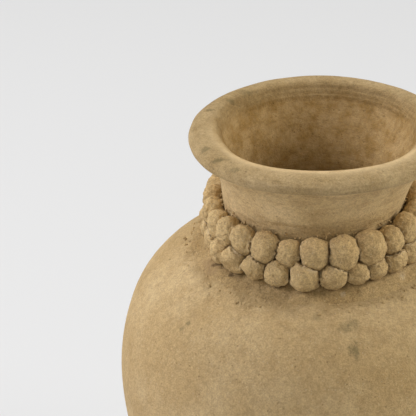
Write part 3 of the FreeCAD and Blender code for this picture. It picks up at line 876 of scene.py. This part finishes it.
@dataclass
class Neck:
    """The waisted collar that stands in the shoulder's mouth."""

    foot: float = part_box("neck_collar")[0].z

    def build(self) -> None:
        """Build the collar from its tongue to the seam under the flare."""
        outside = FORM.neck_rings(self.foot, FORM.neck_seam, True)
        inside = FORM.neck_rings(FORM.neck_seam - FORM.seam_drop, self.foot, False)
        rings = outside + inside
        edges = (0, len(outside) - 1, len(outside), len(rings) - 1)
        piece = draw_rings("neck_ring", rings, edges)
        work_wall(piece)
        mark_inside_shade(piece)
        shade(piece, 50)
        finish_piece(piece, Slot.NECK, NECK_CLAY.material(), "neck_collar")


# The lip's section from the skirt over the crest into the throat: how far in from the lip's
# outermost ring each point lies, and how far below its top.
LIP_SECTION = (
    (0.0165, 0.0212), (0.0092, 0.0188), (0.0040, 0.0170), (0.0010, 0.0148), (0.0, 0.0115),
    (0.0018, 0.0070), (0.0062, 0.0034), (0.0110, 0.0013), (0.0142, 0.0003), (0.0210, 0.0001),
    (0.0285, 0.0005), (0.0345, 0.0022), (0.0386, 0.0064), (0.0406, 0.0130), (0.0416, 0.0215),
    (0.0430, 0.0315), (0.0455, 0.0410),
)


@dataclass
class Lip:
    """The flare and the thick lip on top of it, drawn as one."""

    throat: float = 0.572

    def build(self) -> None:
        """Build the lip, up its outside, over its crest and down its inside."""
        outside = FORM.neck_rings(FORM.neck_seam, FORM.flare_top, True)
        edge = [(FORM.lip_radius - back, FORM.lip_height - drop) for back, drop in LIP_SECTION]
        inside = FORM.neck_rings(self.throat, FORM.neck_seam - FORM.seam_drop, False)
        rings = outside + edge + inside
        piece = draw_rings("lip_ring", rings, (0, len(rings) - 1))
        work_wall(piece)
        mark_inside_shade(piece)
        mark_handled(piece)
        mark_painted_highlight(piece)
        shade(piece, 50)
        finish_piece(piece, Slot.LIP, LIP_CLAY.material(), "rim_lip")


# The bed's face: how far out from the waist each point lies, and how far below the bed's top.
BED_SECTION = ((-0.003, 0), (0.004, 0.006), (0.0135, 0.022), (0.024, 0.031), (0.034, 0.0365))


@dataclass
class Bed:
    """The coil of slip and clay that the pellets are bedded in."""

    top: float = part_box("bedding_coil")[1].z
    toe: float = box_size("bedding_coil").x / 2
    toe_height: float = 0.4674
    toe_gap: float = 0.003
    toe_drop: float = 0.0035

    def sunk(self, across: float, depth: float) -> Ring:
        """Return the point at a radius that lies a depth under the shoulder's slope."""
        start, top = FORM.neck_foot, FORM.body_height
        slope = (across - start) / (self.toe - start) * (top - self.toe_height)
        return across, top - slope - depth

    def build(self) -> None:
        """Build the coil with a ragged toe."""
        waist = FORM.waist_radius
        toe = self.toe - self.toe_gap
        outside = [(waist + out, self.top - drop) for out, drop in BED_SECTION]
        outside += [self.sunk(toe, 0.0010), self.sunk(toe + 0.002, self.toe_drop)]
        under = [self.sunk(waist + 0.03, 0.003), self.sunk(waist + 0.012, 0.003)]
        rings = outside + under + [(waist - 0.003, FORM.body_height)]
        piece = draw_rings("slip_bed", rings, (0, len(rings) - 1), segments=120)
        points = points_of(piece)
        reach = np.hypot(points[:, 0], points[:, 1])
        rough = rise(waist, waist + 0.02, reach) * np.clip((self.toe - reach) / 0.012, 0.2, 1)
        Relief(size=0.022, depth=3.0 * MM, seed=5.3).work(points, rough)
        Relief(size=0.007, depth=1.6 * MM, seed=9.1).work(points, rough)
        Relief(size=0.003, depth=0.6 * MM, seed=2.2).work(points, rough)
        set_points(piece, points)
        shade(piece)
        finish_piece(piece, Slot.SLIP, SLIP_CLAY.material(), "bedding_coil")


@dataclass
class Pellet:
    """One ball of clay, where its node is."""

    row: Row
    number: int
    middle: Vector
    half: float

    @property
    def name(self) -> str:
        """Return the node's name."""
        return f"{self.row.value}_{self.number:02d}"

    @property
    def turn(self) -> float:
        """Return the pellet's direction from the axis, in radians."""
        return math.atan2(self.middle.y, self.middle.x)

    @property
    def outwards(self) -> Vector:
        """Return the level direction away from the axis."""
        return Vector((math.cos(self.turn), math.sin(self.turn), 0))


def pellet_row(row: Row) -> list[Pellet]:
    """Read a row's pellets from the frame."""
    names = sorted(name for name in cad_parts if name.startswith(row.value))
    return [
        Pellet(row, number, box_middle(name), box_size(name).z / 2)
        for number, name in enumerate(names, start=1)
    ]


@dataclass
class PelletRow:
    """A row of rolled balls, each pressed on its neighbours and on what it is seated on."""

    row: Row
    pellets: list[Pellet]
    others: list[Pellet] = field(default_factory=list)
    tucked: dict[int, float] = field(default_factory=dict)
    shift: Vector = field(default_factory=Vector)
    height_share: float = 1.12
    depth_share: float = 0.90
    width_share: float = 1.04
    roundness: float = 0.08
    softness: float = 0.0007
    seed: int = 11

    def roll(self, pellet: Pellet, dice: random.Random) -> Piece:
        """Roll one ball and set it in its place."""
        deselect()
        bpy.ops.mesh.primitive_ico_sphere_add(subdivisions=5, radius=pellet.half, enter_editmode=True)
        ball = bpy.context.object
        tuck = self.tucked.get(pellet.number, 0)
        small = 1 - tuck / 2 / pellet.half
        scale = (
            small * self.depth_share * dice.uniform(0.96, 1.03),
            small * self.width_share * dice.uniform(0.98, 1.04),
            small * self.height_share * dice.uniform(0.97, 1.04),
        )
        bpy.ops.transform.resize(value=scale)
        bpy.ops.object.mode_set(mode="OBJECT")
        apply_modifier(ball, "CAST", cast_type="CUBOID", factor=self.roundness * dice.uniform(0.4, 1.2))
        ball.rotation_euler = (
            math.radians(dice.uniform(-9, 9)),
            math.radians(dice.uniform(-8, 8)),
            pellet.turn,
        )
        ball.location = pellet.middle - pellet.outwards * (tuck + self.shift.x) + UP * self.shift.z
        bpy.ops.object.transform_apply(location=True, rotation=True, scale=True)
        ball.name = f"{pellet.name}_ball"
        return ball

    def press(self, ball: Piece, pellet: Pellet, contacts: list[tuple[Vector, Vector]]) -> None:
        """Flatten a ball on its contacts and leave ragged clay beside them."""
        points = points_of(ball)
        seed = float(pellet.number)
        Relief(size=0.016, depth=2.0 * MM, seed=seed).work(points)
        nearest = np.full(len(points), 1.0)
        for place, ahead in contacts:
            direction = np.array(ahead)
            depth = (points - np.array(place)) @ direction
            pressed = -self.softness * np.logaddexp(0, -depth / self.softness)
            points += (pressed - depth)[:, None] * direction
            nearest = np.minimum(nearest, np.abs(pressed))
        ragged = np.exp(-nearest / 0.0022)
        heart = np.array(pellet.middle)
        Creases(size=0.0085, depth=1.3 * MM, seed=seed).work(points, heart, 0.6 + 0.4 * ragged)
        Creases(size=0.0034, depth=0.6 * MM, seed=seed + 9).work(points, heart, 0.6 + 0.4 * ragged)
        self.squeeze(points, pellet, nearest)
        store_mark(ball, "torn", np.exp(-nearest / 0.0014))
        Relief(size=0.0055, depth=1.5 * MM, seed=seed).work(points, 0.45 + 0.55 * ragged)
        Relief(size=0.0022, depth=0.7 * MM, seed=seed).work(points, 0.55 + 0.45 * ragged)
        set_points(ball, points)

    def squeeze(self, points: np.ndarray, pellet: Pellet, nearest: np.ndarray) -> None:
        """Raise a ragged ridge of clay along the edges of a ball's contacts."""
        start = Vector((pellet.number * 2.1, 0.4, 7.7))
        torn = np.array([noise.noise(Vector(point) / 0.0042 + start) for point in points])
        ridge = np.exp(-(((nearest - 0.0007) / 0.0011) ** 2)) * np.clip(torn * 3.2 + 0.25, 0, 1)
        way = np.array(pellet.outwards + UP * 0.25)
        outer = np.clip(((points - np.array(pellet.middle)) @ np.array(pellet.outwards)) / 0.006 + 0.2, 0, 1)
        points += (ridge * outer * 1.9 * MM)[:, None] * way

    def contacts(self, pellet: Pellet) -> list[tuple[Vector, Vector]]:
        """Return where a pellet is pressed: a point and the direction into what presses it."""
        found = []
        count = len(self.pellets)
        for step in (-1, 1):
            other = self.pellets[(pellet.number - 1 + step) % count]
            line = other.middle - pellet.middle
            share = pellet.half / (pellet.half + other.half)
            found.append((pellet.middle + line * share, line.normalized()))
        for other in self.others:
            line = other.middle - pellet.middle
            if line.length < pellet.half + other.half:
                seat = other.middle - line.normalized() * (other.half * 1.03)
                found.append((seat, line.normalized()))
        neck = FORM.neck_radius(pellet.middle.z, True)
        wall = Vector((pellet.outwards.x * neck, pellet.outwards.y * neck, pellet.middle.z))
        found.append((wall, -pellet.outwards))
        return found

    def build(self, material: bpy.types.Material) -> None:
        """Roll, press and dress each pellet of the row."""
        dice = random.Random(self.seed)
        for pellet in self.pellets:
            ball = self.roll(pellet, dice)
            self.press(ball, pellet, self.contacts(pellet))
            shade(ball)
            finish_piece(ball, Slot.PELLET, material, pellet.name)


@dataclass
class Crumbs:
    """Crumbs and smears of clay squeezed out where the pellets meet the jar."""

    name: str
    radius: float
    height: float
    spread: tuple[float, float]
    count: int
    slope: float = 0.0
    size: tuple[float, float] = (0.6 * MM, 1.9 * MM)
    seed: int = 5

    def build(self, material: bpy.types.Material) -> None:
        """Scatter the crumbs round the jar and join them in one piece."""
        dice = random.Random(self.seed)
        lumps = []
        for number in range(self.count):
            deselect()
            half = dice.uniform(*self.size)
            bpy.ops.mesh.primitive_ico_sphere_add(subdivisions=2, radius=half)
            lump = bpy.context.object
            lump.scale = (dice.uniform(0.6, 1.5), dice.uniform(0.6, 1.5), dice.uniform(0.5, 1.1))
            lump.rotation_euler = tuple(dice.uniform(0, math.tau) for _ in range(3))
            turn = math.tau * (number + dice.uniform(-0.5, 0.5)) / self.count
            across = self.radius + dice.uniform(-1, 1) * self.spread[0]
            up = self.height + dice.uniform(-1, 1) * self.spread[1] - self.slope * (across - self.radius)
            middle = FORM.drift_at(up)
            lump.location = (middle.x + across * math.cos(turn), middle.y + across * math.sin(turn), up)
            bpy.ops.object.transform_apply(location=True, rotation=True, scale=True)
            points = points_of(lump)
            Relief(size=half * 1.2, depth=half * 0.5, seed=float(number)).work(points)
            set_points(lump, points)
            lumps.append(lump)
        deselect()
        for lump in lumps:
            lump.select_set(True)
        bpy.context.view_layer.objects.active = lumps[0]
        bpy.ops.object.join()
        piece = bpy.context.object
        piece.name = self.name
        shade(piece)
        finish_piece(piece, Slot.PELLET, material)


# The studio


@dataclass(frozen=True)
class Lamp:
    """One soft round lamp that looks at the jar's neck."""

    name: str
    place: Triple
    size: float
    power: float
    tone: Triple = (1, 1, 1)

    def hang(self) -> None:
        """Hang the lamp."""
        bpy.ops.object.light_add(type="AREA", location=self.place)
        lamp = bpy.context.object
        lamp.name = self.name
        lamp.data.shape = "DISK"
        lamp.data.size = self.size
        lamp.data.energy = self.power
        lamp.data.color = self.tone
        aim = Vector((0, 0, FORM.body_height)) - Vector(self.place)
        lamp.rotation_euler = aim.to_track_quat("-Z", "Y").to_euler()


LAMPS = (
    Lamp("left_lamp", (-2.4, -0.3, 1.9), 1.6, 52, (1, 1.01, 1.12)),
    Lamp("back_lamp", (-1.4, 1.6, 2.8), 1.8, 60, (1, 0.99, 0.96)),
    Lamp("right_lamp", (2.4, -0.2, 1.8), 1.8, 65, (1, 0.98, 0.92)),
    Lamp("front_lamp", (-0.8, -2.8, 2.4), 2.0, 26, (1, 0.96, 0.85)),
)


@dataclass(frozen=True)
class Studio:
    """A pale floor, soft lamps and the camera at the photograph's angle."""

    camera_place: Triple = (-0.12403, -1.77797, 1.44509)
    camera_pitch: float = 27.55
    camera_roll: float = -1.5
    lens: float = 147.1
    floor_half: float = 14.0
    floor_grey: float = 0.775
    world_grey: float = 0.06

    def camera(self) -> None:
        """Set the camera."""
        bpy.ops.object.camera_add(location=self.camera_place)
        camera = bpy.context.object
        pitch = Matrix.Rotation(math.radians(90 - self.camera_pitch), 4, "X")
        roll = Matrix.Rotation(math.radians(self.camera_roll), 4, "Z")
        camera.rotation_euler = (pitch @ roll).to_euler()
        camera.data.lens = self.lens
        camera.data.clip_start = 0.05
        camera.data.clip_end = 100
        bpy.context.scene.camera = camera

    def backdrop_material(self) -> bpy.types.Material:
        """Return the floor's plain grey, which the camera sees at an even level."""
        desk = NodeDesk("studio_floor")
        desk.feed(desk.shader, {"Base Color": (0.8, 0.8, 0.8, 1), "Roughness": 0.9})
        grey = (self.floor_grey, self.floor_grey, self.floor_grey, 1)
        glow = desk.add("ShaderNodeEmission", {"Color": grey}).outputs["Emission"]
        seen = desk.add("ShaderNodeLightPath").outputs["Is Camera Ray"]
        share = desk.sum("MULTIPLY", seen, 0.8)
        looks = {"Fac": share, 1: desk.shader.outputs["BSDF"], 2: glow}
        blend = desk.add("ShaderNodeMixShader", looks).outputs["Shader"]
        desk.feed(desk.tree.nodes["Material Output"], {"Surface": blend})
        return desk.material

    def floor(self) -> None:
        """Lay the floor."""
        deselect()
        bpy.ops.mesh.primitive_plane_add(size=2 * self.floor_half, location=(0, 0, 0))
        floor = bpy.context.object
        floor.name = "studio_floor"
        floor.data.materials.append(self.backdrop_material())

    def world(self) -> None:
        """Fill the room with an even soft light, and show its far wall as pale as the floor."""
        world = bpy.data.worlds.new("studio")
        bpy.context.scene.world = world
        world.use_nodes = True
        nodes, links = world.node_tree.nodes, world.node_tree.links
        light = nodes["Background"]
        light.inputs["Strength"].default_value = self.world_grey
        wall = nodes.new("ShaderNodeBackground")
        wall.inputs["Strength"].default_value = self.floor_grey
        for background in (light, wall):
            background.inputs["Color"].default_value = (1, 1, 1, 1)
        blend = nodes.new("ShaderNodeMixShader")
        links.new(nodes.new("ShaderNodeLightPath").outputs["Is Camera Ray"], blend.inputs["Fac"])
        links.new(light.outputs["Background"], blend.inputs[1])
        links.new(wall.outputs["Background"], blend.inputs[2])
        links.new(blend.outputs["Shader"], nodes["World Output"].inputs["Surface"])

    def build(self) -> None:
        """Set up the studio."""
        self.camera()
        self.floor()
        self.world()
        for lamp in LAMPS:
            lamp.hang()
        bpy.context.scene.view_settings.view_transform = "Standard"


def main() -> None:
    """Build the jar from the foot up, then the studio."""
    logging.basicConfig(level=logging.INFO, format="%(name)s: %(message)s")
    noise.seed_set(HAND_SEED)
    Body().build()
    Neck().build()
    Lip().build()
    Bed().build()
    clay = PELLET_CLAY.material()
    upper, lower = pellet_row(Row.UPPER), pellet_row(Row.LOWER)
    tucked = {24: 0.003, 25: 0.004, 1: 0.002}
    sunk = Vector((0, 0, -0.0016))
    PelletRow(Row.UPPER, upper, tucked=tucked, shift=sunk, height_share=1.20, seed=11).build(clay)
    tucked = {24: 0.002, 25: 0.004, 26: 0.006, 27: 0.006, 1: 0.002}
    raised = Vector((0.0015, 0, 0.0022))
    PelletRow(Row.LOWER, lower, upper, tucked, raised, height_share=1.03, seed=23).build(clay)
    waist = FORM.waist_radius
    foot = FORM.neck_foot
    slope = math.tan(math.radians(27))
    toe, top = 0.150, FORM.body_height
    toe_top = top - slope * (toe - foot)
    Crumbs("neck_crumbs", waist + 0.0035, top + 0.046, (0.0015, 0.004), 150, seed=3).build(clay)
    Crumbs("row_crumbs", waist + 0.0240, top + 0.017, (0.002, 0.003), 110, seed=8).build(clay)
    Crumbs("toe_crumbs", toe, toe_top, (0.007, 0.0004), 190, slope=slope, seed=13).build(clay)
    Studio().build()


if __name__ == "__main__":
    main()
